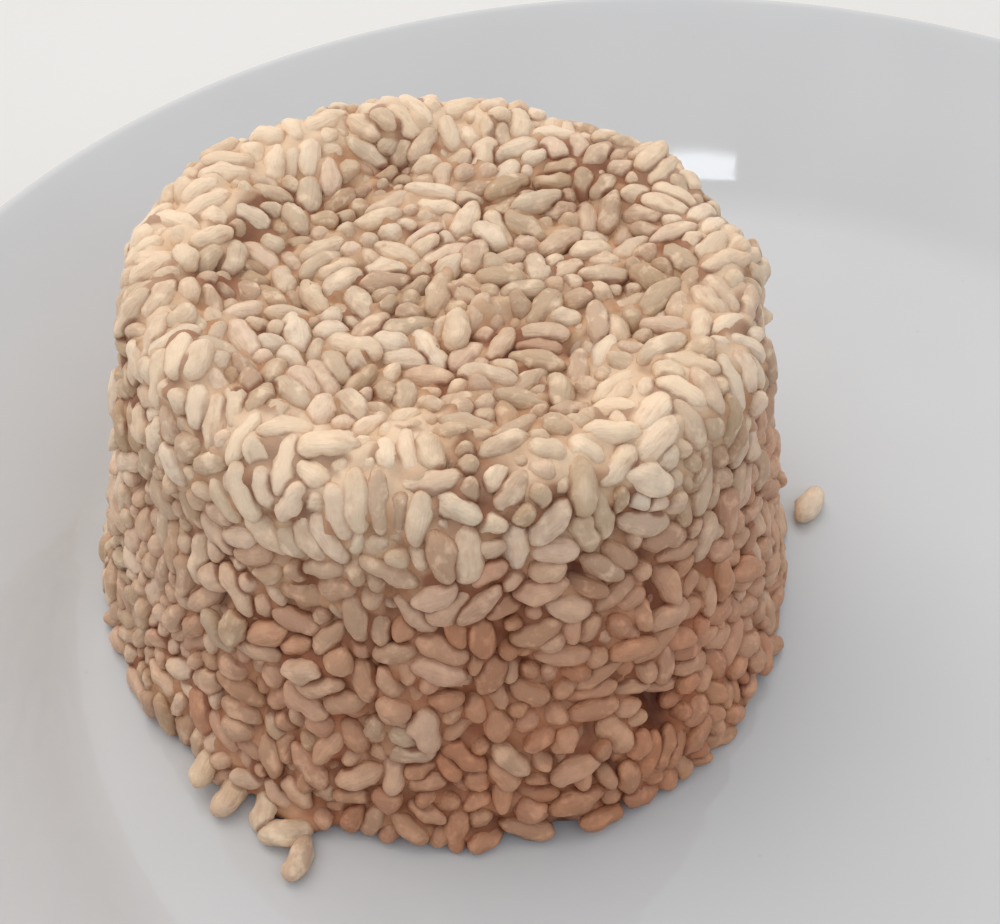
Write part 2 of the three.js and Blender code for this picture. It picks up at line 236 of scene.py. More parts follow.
def swell(points):
    """The pressed surface isn't quite the mould's: it swells and sinks, and slumps outwards at the foot."""
    waves = SWELL_HEIGHT * np.sin(points @ SWELL_WAYS.T + SWELL_PHASES).sum(-1)
    slump = SLUMP * np.exp(-np.maximum(points[..., 2], 0) / SLUMP_HEIGHT)
    return SWELL_EVERYWHERE + waves + slump + around(points, BULGES)


# ---- Packing the grains

# Grains are strewn from this far in to this far short of the shell's depth, in millimetres, and this much of
# their lean out of the surface is taken away.
STREWN_FROM = 1.3
STREWN_SHORT = 1.0
STREWN_STEPS = 40
LIE_DOWN = 0.45
# How far any grain may stand past the mould's form, and a ball sink into the plate, in millimetres.
STANDING = 0.1
SINKING = 0.05
PASSES = 150
# The last share of the passes, in which the grains no longer drift outwards.
SETTLING = 0.7
DRIFT = 0.03
# How near two balls may come, as a share of their width, and how much of an overlap one pass takes away.
SQUEEZE = 0.83
PUSH = 0.45
PULL_UP = 0.6
# Pairs are found anew every few passes, with this much to spare.
PAIRS_EVERY = 4
PAIRS_SPARE = 0.5


def near_pairs(points, others, reach):
    """Every point with every other point nearer to it than reach, found cell by cell."""
    low = np.minimum(points.min(0), others.min(0)) - reach
    size = ((np.maximum(points.max(0), others.max(0)) - low) / reach).astype(np.int64) + 3

    def cell_key(values):
        cell = np.floor((values - low) / reach).astype(np.int64)
        return (cell[:, 0] * size[1] + cell[:, 1]) * size[2] + cell[:, 2]

    key, other_key = cell_key(points), cell_key(others)
    order = np.argsort(other_key, kind="stable")
    ranked = other_key[order]
    found = []
    for column in range(9):
        middle = key + ((column // 3 - 1) * size[1] + column % 3 - 1) * size[2]
        start = np.searchsorted(ranked, middle - 1, "left")
        many = np.searchsorted(ranked, middle + 1, "right") - start
        i = np.repeat(np.arange(len(points)), many)
        before = np.repeat(np.cumsum(many) - many, many)
        j = order[np.arange(many.sum()) - before + np.repeat(start, many)]
        near = ((points[i] - others[j]) ** 2).sum(1) < reach ** 2
        found.append(np.stack([i[near], j[near]], 1))
    return np.concatenate(found)


def unit(vectors):
    return vectors / np.maximum(np.linalg.norm(vectors, axis=-1, keepdims=True), 1e-9)


def scatter_shell(mould, count):
    """Grains strewn evenly through the shell under the mould's outline, most of them lying along it."""
    outline = mound_outline()[:-1]
    fine = np.concatenate([
        a + np.linspace(0, 1, STREWN_STEPS, endpoint=False)[:, None] * (b - a)
        for a, b in zip(outline[:-1], outline[1:])
    ])
    length = np.linalg.norm(np.diff(fine, axis=0), axis=1)
    area = np.concatenate([[0], np.cumsum(length * (fine[:-1, 0] + fine[1:, 0]) / 2)])
    pick = np.interp(rng.uniform(0, area[-1], count), area, np.arange(len(fine)))
    ring = np.stack([np.interp(pick, np.arange(len(fine)), fine[:, k]) for k in (0, 1)], 1)
    angle = rng.uniform(0, TURN, count)
    centre = np.stack([ring[:, 0] * np.cos(angle), ring[:, 0] * np.sin(angle), ring[:, 1]], 1)
    out = mould.at(centre)[1]
    centre -= out * rng.uniform(STREWN_FROM, SHELL_DEPTH - STREWN_SHORT, count)[:, None]
    centre[:, 2] = np.maximum(centre[:, 2], BALL_R)
    axis = rng.normal(size=(count, 3))
    axis -= LIE_DOWN * (axis * out).sum(1, keepdims=True) * out
    return centre, unit(axis)


def pack_shell(mould, centre, axis, size, proud, fixed):
    """Pushes overlapping grains apart and back into the shell, as rigid rods of four balls each."""
    count = len(centre)
    reach = BALLS * size[:, None]
    leverage = (reach ** 2).sum(1, keepdims=True)
    apart = 2 * BALL_R * SQUEEZE
    for step in range(PASSES):
        balls = (centre[:, None] + reach[..., None] * axis[:, None]).reshape(-1, 3)
        if step % PAIRS_EVERY == 0:
            pairs = near_pairs(balls, balls, apart + PAIRS_SPARE)
            grain = pairs // len(BALLS)
            pairs = pairs[grain[:, 0] < grain[:, 1]]
        gap = balls[pairs[:, 0]] - balls[pairs[:, 1]]
        distance = np.maximum(np.linalg.norm(gap, axis=1), 1e-6)
        push = gap * (PUSH * np.maximum(apart - distance, 0) / distance)[:, None]
        move = np.zeros_like(balls)
        for k in range(3):
            move[:, k] += np.bincount(pairs[:, 0], push[:, k], len(balls))
            move[:, k] -= np.bincount(pairs[:, 1], push[:, k], len(balls))
        outside, out = mould.at(balls)
        over = np.maximum(outside + BALL_R - STANDING - np.repeat(proud, len(BALLS)), 0)
        deep = np.maximum(-SHELL_DEPTH - outside, 0)
        drift = DRIFT if step < PASSES * SETTLING else 0.0
        move += out * (drift + PULL_UP * deep - over)[:, None]
        move[:, 2] += np.maximum(BALL_R - SINKING - (balls[:, 2] + move[:, 2]), 0)
        move = move.reshape(count, len(BALLS), 3)
        shift = move.mean(1)
        turn = (reach[..., None] * move).sum(1) / leverage
        shift[:fixed] = 0
        turn[:fixed] = 0
        centre = centre + shift
        axis = unit(axis + turn)
    return centre, axis


def lying(grains):
    """Centres and axes of grains that lie on the plate."""
    table = np.array(grains)
    angle = np.radians(table[:, 3])
    return table[:, :3], np.stack([np.cos(angle), np.sin(angle), np.zeros(len(table))], 1)


# ---- Grain meshes

RINGS = 14
SIDES = 13
ROOM_MOST = 1.2
# What each grain's own shape is drawn from: shares of its length, width and thickness, how blunt its ends
# are, how much thicker one end is, how deep its waist, its germ notch and its dents are, and how far it
# bends, in millimetres.
LENGTH_SHARE = (0.96, 1.06)
WIDTH_SHARE = (0.86, 1.1)
THICKNESS_SHARE = (0.88, 1.1)
BLUNTNESS = (1.6, 2.4)
THICKER_END = (-0.16, 0.16)
WAIST = (0, 0.03)
GERM_NOTCH = (0.05, 0.28)
DENT_DEPTH = (0.02, 0.05)
BEND_ACROSS = (-0.32, 0.32)
HOOK_ACROSS = (-0.2, 0.2)
BEND_UP = (-0.2, 0.2)
DENTS = 4
# Any phase of a wave, in radians.
ANY = (0, 6.3)
# Each grain's own place in the noise of its colour.
SEEDS = (0, 400)
# How much of what stands past the mould is pressed back, and the height of the lowest point over the plate.
PRESS = 0.75
LOWEST = 0.03


def grain_meshes(mould, centre, axis, flat, size, proud, burst):
    """Vertices and shading data of all the grains, each with its own size, bend and lumps."""
    count = len(centre)
    across = np.cross(flat, axis)
    t = -np.cos(np.linspace(0, math.pi, RINGS))
    phi = np.arange(SIDES) / SIDES * TURN
    t, phi = t[None, :, None], phi[None, None, :]

    def each(low, high):
        return rng.uniform(low, high, (count, 1, 1))

    length = GRAIN_LENGTH * size[:, None, None] * each(*LENGTH_SHARE)
    width = GRAIN_WIDTH * each(*WIDTH_SHARE)
    thickness = GRAIN_THICKNESS * each(*THICKNESS_SHARE)
    blunt = each(*BLUNTNESS)
    girth = (1 - np.abs(t) ** blunt) ** 0.5
    lean = each(*THICKER_END) * t
    girth = girth * (1 + lean - each(*WAIST) * np.exp(-((t - each(-0.5, 0.5)) / 0.22) ** 2))
    # Twisted flats round the grain, then fine rings along it.
    lumps = 1 + 0.07 * np.sin(2 * phi + 4 * t * each(0.5, 1.6) + each(*ANY))
    lumps = lumps + 0.045 * np.sin(3 * phi - 5 * t * each(0.4, 1.4) + each(*ANY))
    lumps = lumps + 0.02 * np.sin(9 * t + each(*ANY)) * (1 - t ** 2)
    # The side where the skin has split bulges out, between two furrows.
    side = each(0, TURN)
    turn = (phi - side + math.pi) % TURN - math.pi
    middle = np.exp(-((t - each(-0.3, 0.3)) / 0.55) ** 2)
    opened = burst[:, None, None]
    lumps = lumps + opened * middle * (0.16 * np.exp(-(turn / 0.75) ** 2) - 0.06)
    lumps = lumps - (0.05 + 0.05 * opened) * np.exp(-((np.abs(turn) - 0.9) / 0.3) ** 2) * (1 - t ** 2)
    # The notch where the germ was, near one end.
    germ = np.exp(-((t - each(0.7, 0.88)) / 0.2) ** 2 - (turn / 0.8) ** 2)
    lumps = lumps - each(*GERM_NOTCH) * germ
    x = length / 2 * t + 0 * phi
    dents = np.zeros((count, RINGS, SIDES))
    for _ in range(DENTS):
        along = each(1.0, 2.6) * x
        dents += np.sin(along + each(-2.5, 2.5) * np.cos(phi) + each(-2.5, 2.5) * np.sin(phi) + each(*ANY))
    lumps = lumps * (1 + each(*DENT_DEPTH) * dents)
    bow = size[:, None, None] * (1 - t ** 2)
    y = width / 2 * girth * lumps * np.cos(phi) + each(*BEND_ACROSS) * bow + each(*HOOK_ACROSS) * t ** 3
    z = thickness / 2 * girth * lumps * np.sin(phi) + each(*BEND_UP) * bow
    own = np.stack([x, y, z], -1)
    place = (
        centre[:, None, None]
        + own[..., :1] * axis[:, None, None]
        + own[..., 1:2] * across[:, None, None]
        + own[..., 2:] * flat[:, None, None]
    )
    outside, out = mould.at(place)
    near = (np.hypot(centre[:, 0], centre[:, 1]) < MOUND_FOOT_R + 1)[:, None, None]
    pressed = np.maximum(outside - STANDING - proud[:, None, None], 0)
    place = place - out * (PRESS * pressed * near)[..., None]
    place[..., 2] = np.maximum(place[..., 2], LOWEST)
    seam = np.exp(-(turn / 0.55) ** 2) * middle + 0 * x
    deep = np.where(near, -outside, 0.0) + 0 * x
    seeds = rng.uniform(*SEEDS, (count, 1, 1, 3))
    return place, {"own": own + seeds, "seam": seam, "span": t + 0 * x, "deep": deep}


def rod_balls(centre, axis, half):
    """The middles of each rod's four balls."""
    reach = half[:, None] * BALLS / BALLS[-1]
    return (centre[:, None] + reach[..., None] * axis[:, None]).reshape(-1, 3)


def to_rod(points, centre, axis, half):
    """Each point's distance from the skin of a rod with round ends."""
    gap = points - centre
    along = (gap * axis).sum(-1, keepdims=True).clip(-half[..., None], half[..., None])
    return np.linalg.norm(gap - along * axis, axis=-1) - BALL_R


# How many grains are gone through at a time.
ROOM_BATCH = 200


def room(place, centre, axis, half):
    """How far each vertex of each grain is from the nearest other grain, up to ROOM_MOST."""
    count = len(centre)
    balls = rod_balls(centre, axis, half)
    pairs = near_pairs(balls, balls, 2 * BALL_R + ROOM_MOST) // len(BALLS)
    pairs = np.unique(pairs[pairs[:, 0] != pairs[:, 1]], axis=0)
    nearest = np.full(place.shape[:-1], ROOM_MOST)
    cuts = np.searchsorted(pairs[:, 0], np.arange(0, count + ROOM_BATCH, ROOM_BATCH))
    for start, stop in zip(cuts[:-1], cuts[1:]):
        i, j = pairs[start:stop, 0], pairs[start:stop, 1]
        if len(i):
            free = to_rod(place[i], centre[j, None, None], axis[j, None, None], half[j, None, None])
            first = np.flatnonzero(np.diff(i, prepend=-1))
            nearest[i[first]] = np.minimum(nearest[i[first]], np.minimum.reduceat(free, first))
    return nearest


# A grain's rings between its poles, and all its vertices.
INNER = RINGS - 2
PER_GRAIN = INNER * SIDES + 2


def tube_faces(count):
    """Quads and end triangles for grains whose poles are their first and last vertex."""
    quads, tris = [], []
    for i in range(INNER - 1):
        for j in range(SIDES):
            k = (j + 1) % SIDES
            a, b = 1 + i * SIDES, 1 + (i + 1) * SIDES
            quads.append((a + j, a + k, b + k, b + j))
    end = 1 + (INNER - 1) * SIDES
    for j in range(SIDES):
        k = (j + 1) % SIDES
        tris.append((0, 1 + k, 1 + j))
        tris.append((PER_GRAIN - 1, end + j, end + k))
    base = (np.arange(count) * PER_GRAIN)[:, None, None]
    return (base + np.array(quads)).reshape(-1, 4), (base + np.array(tris)).reshape(-1, 3)


def without_double_poles(rings):
    """Drops all but one vertex of each pole, from (count, RINGS, SIDES, ...) to (count, vertices, ...)."""
    count = len(rings)
    middle = rings[:, 1:-1].reshape(count, INNER * SIDES, *rings.shape[3:])
    return np.concatenate([rings[:, 0, :1], middle, rings[:, -1, :1]], 1)


def turned(section, sides):
    """Rings of points from a section of (r, z), turned round the axis in so many sides."""
    angle = np.arange(sides) / sides * TURN
    return np.stack([
        section[:, None, 0] * np.cos(angle),
        section[:, None, 0] * np.sin(angle),
        section[:, None, 1] + 0 * angle,
    ], -1)


def mesh_object(name, vertices, quads, tris, material):
    """A mesh object in metres from vertices in millimetres, with smooth shading."""
    me = bpy.data.meshes.new(name)
    me.vertices.add(len(vertices))
    me.vertices.foreach_set("co", (vertices * MM).astype(np.float32).ravel())
    loops = np.concatenate([quads.ravel(), tris.ravel()])
    sizes = np.concatenate([np.full(len(quads), 4), np.full(len(tris), 3)])
    me.loops.add(len(loops))
    me.loops.foreach_set("vertex_index", loops.astype(np.int32))
    me.polygons.add(len(sizes))
    me.polygons.foreach_set("loop_start", (np.cumsum(sizes) - sizes).astype(np.int32))
    me.polygons.foreach_set("use_smooth", np.ones(len(sizes), bool))
    me.update(calc_edges=True)
    me.validate()
    ob = bpy.data.objects.new(name, me)
    bpy.context.scene.collection.objects.link(ob)
    me.materials.append(material)
    return ob


def float_attribute(me, name, values):
    me.attributes.new(name, "FLOAT", "POINT").data.foreach_set("value", values.astype(np.float32).ravel())


def vector_attribute(me, name, values):
    attribute = me.attributes.new(name, "FLOAT_VECTOR", "POINT")
    attribute.data.foreach_set("vector", values.astype(np.float32).ravel())


# The empty edge of each grain's cell in the UV map, as a share of the cell.
CELL_EDGE = 0.04


def bake_map(me, count):
    """A UV map with each grain unrolled in a cell of its own."""
    columns = math.ceil(math.sqrt(count))
    rows = math.ceil(count / columns)
    loops = np.empty(len(me.loops), np.int32)
    me.loops.foreach_get("vertex_index", loops)
    starts = np.empty(len(me.polygons), np.int32)
    me.polygons.foreach_get("loop_start", starts)
    totals = np.empty(len(me.polygons), np.int32)
    me.polygons.foreach_get("loop_total", totals)
    face = np.repeat(np.arange(len(starts)), totals)
    grain, local = loops // PER_GRAIN, loops % PER_GRAIN
    last = local == PER_GRAIN - 1
    ring = np.where(local == 0, 0, np.where(last, RINGS - 1, (local - 1) // SIDES + 1))
    side = np.where((local == 0) | last, -1, (local - 1) % SIDES).astype(float)
    # Round each face the last side wraps to the first, and a pole lies over the middle of its face.
    low = np.full(len(starts), 99.0)
    high = np.full(len(starts), -1.0)
    held = side >= 0
    np.minimum.at(low, face[held], side[held])
    np.maximum.at(high, face[held], side[held])
    wraps = (high - low > SIDES / 2)[face]
    side = np.where(wraps & (side == 0), SIDES, side)
    middle = np.where(high - low > SIDES / 2, SIDES - 0.5, low + 0.5)
    side = np.where(held, side, middle[face])
    inside = 1 - 2 * CELL_EDGE
    u = (grain % columns + CELL_EDGE + inside * side / SIDES) / columns
    v = (grain // columns + CELL_EDGE + inside * ring / (RINGS - 1)) / rows
    layer = me.uv_layers.new(name="OFBake")
    layer.uv.foreach_set("vector", np.stack([u, v], 1).astype(np.float32).ravel())


# ---- Material helpers

def srgb(r, g, b):
    """An sRGB colour from 0 to 255 as Blender's linear numbers."""
    def linear(c):
        c /= 255
        return c / 12.92 if c <= 0.04045 else ((c + 0.055) / 1.055) ** 2.4
    return (linear(r), linear(g), linear(b), 1.0)


class Nodes:
    """Builds a material's nodes, each new node placed to the right of the last."""

    def __init__(self, name):
        self.material = bpy.data.materials.new(name)
        self.material.use_nodes = True
        self.tree = self.material.node_tree
        self.tree.nodes.clear()
        self.shader = self.add("ShaderNodeBsdfPrincipled")
        output = self.add("ShaderNodeOutputMaterial")
        self.link(self.shader.outputs[0], output.inputs["Surface"])

    def add(self, kind, **settings):
        node = self.tree.nodes.new(kind)
        for name, value in settings.items():
            setattr(node, name, value)
        return node

    def link(self, source, target):
        self.tree.links.new(source, target)

    def put(self, target, value):
        if isinstance(value, bpy.types.NodeSocket):
            self.link(value, target)
        else:
            target.default_value = value

    def math(self, operation, a, b=0.0):
        node = self.add("ShaderNodeMath", operation=operation)
        self.put(node.inputs[0], a)
        self.put(node.inputs[1], b)
        return node.outputs[0]

    def attribute(self, name, output="Fac"):
        return self.add("ShaderNodeAttribute", attribute_name=name).outputs[output]

    def stretched(self, vector, scale):
        node = self.add("ShaderNodeVectorMath", operation="MULTIPLY")
        self.put(node.inputs[0], vector)
        self.put(node.inputs[1], scale)
        return node.outputs[0]

    def noise(self, vector, scale, detail=3.0, roughness=0.55):
        node = self.add("ShaderNodeTexNoise")
        self.put(node.inputs["Vector"], vector)
        self.put(node.inputs["Scale"], scale)
        self.put(node.inputs["Detail"], detail)
        self.put(node.inputs["Roughness"], roughness)
        return node.outputs["Fac"]

    def between(self, value, low, high, to_low=0.0, to_high=1.0):
        node = self.add("ShaderNodeMapRange", interpolation_type="SMOOTHSTEP", clamp=True)
        for name, number in (("Value", value), ("From Min", low), ("From Max", high),
                             ("To Min", to_low), ("To Max", to_high)):
            self.put(node.inputs[name], number)
        return node.outputs["Result"]

    def mix(self, share, a, b, blend="MIX"):
        node = self.add("ShaderNodeMix", data_type="RGBA", blend_type=blend, clamp_factor=True)
        self.put(node.inputs["Factor"], share)
        self.put(node.inputs[6], a)
        self.put(node.inputs[7], b)
        return node.outputs[2]

    def bump(self, height, distance, strength):
        node = self.add("ShaderNodeBump")
        self.put(node.inputs["Height"], height)
        self.put(node.inputs["Distance"], distance)
        self.put(node.inputs["Strength"], strength)
        self.link(node.outputs["Normal"], self.shader.inputs["Normal"])


# Painted shade deep between the grains, dried starch, wet bran in the gaps that is also painted shade where
# the grains meet, damp grain, and what warms the walls: partly the rice's own colour, partly painted shade.
CREVICE_SHADE = srgb(104, 48, 26)
STARCH = srgb(248, 219, 186)
WET_BRAN_AND_SHADE = srgb(130, 72, 42)
GLASSY = srgb(201, 171, 140)
WARMTH_AND_SHADE = srgb(218, 147, 104)


def tinted(n, body):
    """The heap's paler and warmer places, laid over a colour: the pale crest is painted light, and the warm
    walls are partly painted shade.
    """
    tint = n.attribute("tint")
    body = n.mix(n.between(tint, 0.0, -1.0, 0.0, 0.75), body, STARCH)
    return n.mix(n.between(tint, 0.0, 0.9, 0.0, 0.85), body, WARMTH_AND_SHADE, "MULTIPLY")


def stained_and_shaded(n):
    """Where the gaps between the grains are full of brown bran: in the browner places, and here and there. On
    the walls, most where they face the front, the brown gaps are partly painted shade.
    """
    place = n.add("ShaderNodeTexCoord").outputs["Object"]
    here = n.between(n.noise(place, 150.0, 2.0), 0.5, 0.62, 0.0, 0.85)
    return n.math("MAXIMUM", here, n.between(n.attribute("stain"), 0.15, 0.8))


WET_STARCH_IOR = 1.4


def wetness(n, roughness):
    """Damp starch: soft light through it, a low gloss."""
    n.put(n.shader.inputs["Roughness"], roughness)
    n.shader.inputs["Subsurface Weight"].default_value = 0.12
    n.shader.inputs["Subsurface Radius"].default_value = (1.0, 0.8, 0.65)
    n.shader.inputs["Subsurface Scale"].default_value = 0.0016
    n.shader.inputs["IOR"].default_value = WET_STARCH_IOR


def rice_material(name, light, dark, bran, bran_share, seam_share):
    """Cooked rice: a tone between light and dark for each grain, with bran on it, dark tips and split seams.

    Close to another grain the colour turns to that of wet bran, partly bran and partly painted shade where
    the grains meet, and deep in the heap it darkens with painted shade."""
    n = Nodes(name)
    own = n.attribute("own", "Vector")
    body = n.mix(n.attribute("tone"), light, dark)
    cloud = n.noise(own, 0.55, 3.0)
    body = n.mix(n.between(cloud, 0.48, 0.7, 0.0, 0.6), body, STARCH)
    body = n.mix(n.between(cloud, 0.48, 0.3, 0.0, 0.5), body, GLASSY)
    seam = n.math("MULTIPLY", n.between(n.attribute("seam"), 0.3, 0.8), seam_share)
    body = n.mix(seam, body, STARCH)
    body = tinted(n, body)
    streaks = n.noise(n.stretched(own, (0.3, 1.5, 1.5)), 1.0, 2.0, 0.5)
    patches = n.noise(own, 0.36, 3.0, 0.6)
    skin = n.math("MULTIPLY", n.between(streaks, 0.4, 0.72), n.between(patches, 0.42, 0.66))
    body = n.mix(n.math("MULTIPLY", skin, bran_share), body, bran)
    tips = n.between(n.math("ABSOLUTE", n.attribute("span")), 0.75, 1.0, 0.0, 0.5)
    body = n.mix(n.math("MULTIPLY", tips, bran_share), body, bran)
    # Painted shade where grains meet, in the colour of wet bran: partly real bran, partly shade.
    edge = n.between(n.attribute("room"), 0.55, 0.02)
    edge = n.math("MULTIPLY", edge, n.between(stained_and_shaded(n), 0.0, 1.0, 0.25, 0.85))
    edge = n.math("MULTIPLY", edge, n.between(n.attribute("tint"), -0.7, 0.0, 0.7, 1.0))
    body = n.mix(edge, body, WET_BRAN_AND_SHADE)
    # Painted shade: the deeper a point lies under the heap's form, the darker.
    body = n.mix(n.between(n.attribute("deep"), 1.0, 3.2, 0.0, 0.8), body, CREVICE_SHADE)
    n.put(n.shader.inputs["Base Color"], body)
    wetness(n, n.between(streaks, 0.3, 0.7, 0.38, 0.55))
    fine = n.noise(n.stretched(own, (1.4, 4.0, 4.0)), 1.0, 2.0)
    ridges = n.noise(n.stretched(own, (0.25, 2.2, 2.2)), 1.0, 1.0)
    n.bump(n.math("ADD", n.math("MULTIPLY", fine, 0.5), ridges), 0.00035, 0.45)
    return n.material


# ---- The rice

KINDS = [
    # name, share, light and dark tone, bran, how much bran shows, how much the seams show, how far it splits
    ("rice_cream", 0.24, srgb(231, 208, 182), srgb(193, 166, 136), srgb(190, 145, 108), 0.3, 0.4, 0.2),
    ("rice_beige", 0.24, srgb(229, 202, 172), srgb(189, 158, 125), srgb(186, 138, 101), 0.35, 0.4, 0.2),
    ("rice_rosy", 0.24, srgb(228, 198, 171), srgb(188, 155, 127), srgb(180, 133, 102), 0.35, 0.4, 0.2),
    ("rice_bran", 0.06, srgb(218, 186, 156), srgb(185, 151, 120), srgb(152, 112, 86), 0.35, 0.2, 0.2),
    ("rice_split", 0.22, srgb(229, 204, 176), srgb(191, 161, 131), srgb(184, 137, 103), 0.35, 0.8, 1.0),
]


def rice_piece(name, material, place, data, chosen):
    """One mesh of all the grains of a kind."""
    count = int(chosen.sum())
    quads, tris = tube_faces(count)
    vertices = without_double_poles(place[chosen]).reshape(-1, 3) + (MOUND_X, MOUND_Y, WELL_Z)
    ob = mesh_object(name, vertices, quads, tris, material)
    for key, values in data.items():
        values = without_double_poles(values[chosen])
        if key == "own":
            vector_attribute(ob.data, key, values.reshape(-1, 3))
        else:
            float_attribute(ob.data, key, values.reshape(-1))
    bake_map(ob.data, count)
    return ob


# The pale crest's place, and what makes the rice warmer or paler: slow waves, the walls and their front
# (partly painted shade), the crest (painted light), and bran.
CREST_R = 34.0
CREST_WIDTH = 5.0
WARM_WAVES = 0.028
WALL_WARMTH_AND_SHADE = 0.25
FRONT_WARMTH_AND_SHADE = 0.39
CREST_PAINTED_LIGHT = 0.72
CREST_FRONT = 0.08
WARM_STAIN = 0.15
WALL_STAIN_AND_SHADE = 0.5


def patches_and_painted_light(points):
    """How warm the rice's colour is from place to place, and how far bran stains the gaps between the grains.

    The walls are warmer than the top, most of all where they face the front: partly the rice's own colour,
    partly painted shade, which also browns their gaps. The crest is the palest: painted light."""
    waves = WARM_WAVES * np.sin(1.9 * points @ SWELL_WAYS.T + 2 * SWELL_PHASES).sum(-1)
    height = (points[..., 2] / MOUND_HEIGHT).clip(0, 1)
    radius = np.hypot(points[..., 0], points[..., 1])
    front = (points[..., 0] - 2 * points[..., 1]) / (2.24 * np.maximum(radius, 1))
    # Partly painted shade: the walls are warmer than the top, most where they face the front.
    wall = (WALL_WARMTH_AND_SHADE + FRONT_WARMTH_AND_SHADE * front) * (1 - height ** 4)
    ring = np.exp(-((radius - CREST_R) / CREST_WIDTH) ** 2)
    # Painted light: the crest is paler than the rest, a little less so on its front.
    crest = (CREST_PAINTED_LIGHT - CREST_FRONT * front) * ring * height ** 6
    stain = around(points, BROWN_SPOTS)
    tint = waves + wall - crest + WARM_STAIN * stain - around(points, PALE_SPOTS)
    return tint, stain + WALL_STAIN_AND_SHADE * wall


# How much one grain differs from the next in size, tone and warmth, as the spread of a normal draw, how far
# its size may go, how far it rolls round its axis, and how far a split opens.
SIZE_SPREAD = 0.06
SIZE_RANGE = (0.85, 1.12)
TONE_SPREAD = 0.25
TINT_SPREAD = 0.03
ROLL_SPREAD = 0.6
SPLIT_RANGE = (0.5, 1.1)
# How much the tone drifts in slow clumps, and how much of all that the warm walls lose.
CLUMPS = 0.24
CALM_WALLS = 0.9


def make_rice():
    """All the grains, packed and coloured, as one piece for each kind, and what sticks them together."""
    mould = Mould()
    loose_centre, loose_axis = lying(SPILLED_GRAINS + [LOOSE_GRAIN])
    centre, axis = scatter_shell(mould, SHELL_GRAINS)
    fixed = len(loose_centre)
    centre, axis = np.concatenate([loose_centre, centre]), np.concatenate([loose_axis, axis])
    count = len(centre)
    size = rng.normal(1.0, SIZE_SPREAD, count).clip(*SIZE_RANGE)
    broken = rng.uniform(0, 1, count) < BROKEN_SHARE
    size[broken] = rng.uniform(*BROKEN_SIZE, broken.sum())
    proud = rng.exponential(PROUD, count).clip(0, PROUD_MOST)
    size[:fixed] = 1
    centre, axis = pack_shell(mould, centre, axis, size, proud, fixed)
    out = mould.at(centre)[1]
    out[:fixed] = (0, 0, 1)
    flat = unit(out + ROLL_SPREAD * rng.normal(size=out.shape))
    flat = unit(flat - (flat * axis).sum(1, keepdims=True) * axis)
    kind = rng.choice(len(KINDS), count, p=[row[1] for row in KINDS])
    burst = np.array([row[7] for row in KINDS])[kind] * rng.uniform(*SPLIT_RANGE, count)
    place, data = grain_meshes(mould, centre, axis, flat, size, proud, burst)
    half = BALLS[-1] * size
    data["room"] = room(place, centre, axis, half)
    clumps = CLUMPS * np.sin(1.3 * centre @ SWELL_WAYS[:, ::-1].T + SWELL_PHASES).sum(-1)
    tone = (0.5 + clumps + rng.normal(0, TONE_SPREAD, count)).clip(0, 1)
    tint, stain = patches_and_painted_light(centre)
    tone = 0.5 + (tone - 0.5) * (1 - CALM_WALLS * tint.clip(0, 0.6))
    tint += rng.normal(0, TINT_SPREAD, count)
    tint[:fixed] = SPILLED_TINT
    for key, values in (("tone", tone), ("tint", tint), ("stain", stain)):
        data[key] = np.broadcast_to(values[:, None, None], place.shape[:-1])
    pieces = []
    for k, (name, _, light, dark, bran, bran_share, seam_share, _) in enumerate(KINDS):
        material = rice_material(name, light, dark, bran, bran_share, seam_share)
        pieces.append(rice_piece(name, material, place, data, kind == k))
    pieces.append(make_web(mould, centre, axis, half))
    return pieces


# ---- What sticks the grains together

WEB_ROWS = 190
WEB_COLUMNS = 400
# The deepest and the highest that it may lie from the mould's form, in millimetres.
WEB_DEPTH = 3.6
WEB_HIGHEST = -1.6
# How far it lies under the grains it covers, how much higher in the starchy places, and how lumpy it is.
WEB_UNDER = 0.62
WEB_RISE = 0.3
WEB_LUMPS = 0.11
WEB_SMOOTHING = 5
WEB_LOWEST = 0.2
# Grains are looked for this far in, and this far round, by so many steps inwards.
WEB_LOOK_IN = 1.4
WEB_LOOK_ROUND = 4.2
WEB_STEPS = 14


def cover_depth(place, out, centre, axis, half):
    """How deep under each point of the mould's form the outermost grain lies, found by steps inwards."""
    count = len(centre)
    balls = rod_balls(centre, axis, half)
    pairs = near_pairs(place - WEB_LOOK_IN * out, balls, WEB_LOOK_ROUND)
    found = np.unique(pairs[:, 0] * count + pairs[:, 1] // len(BALLS))
    i, j = found // count, found % count
    first = np.flatnonzero(np.diff(i, prepend=-1))
    deep = np.full(len(place), WEB_DEPTH)
    held = i[first]
    deep[held] = WEB_HIGHEST
    for _ in range(WEB_STEPS):
        free = to_rod((place - out * deep[:, None])[i], centre[j], axis[j], half[j])
        deep[held] += np.maximum(np.minimum.reduceat(free, first), 0)
        deep = deep.clip(WEB_HIGHEST, WEB_DEPTH)
    return deep


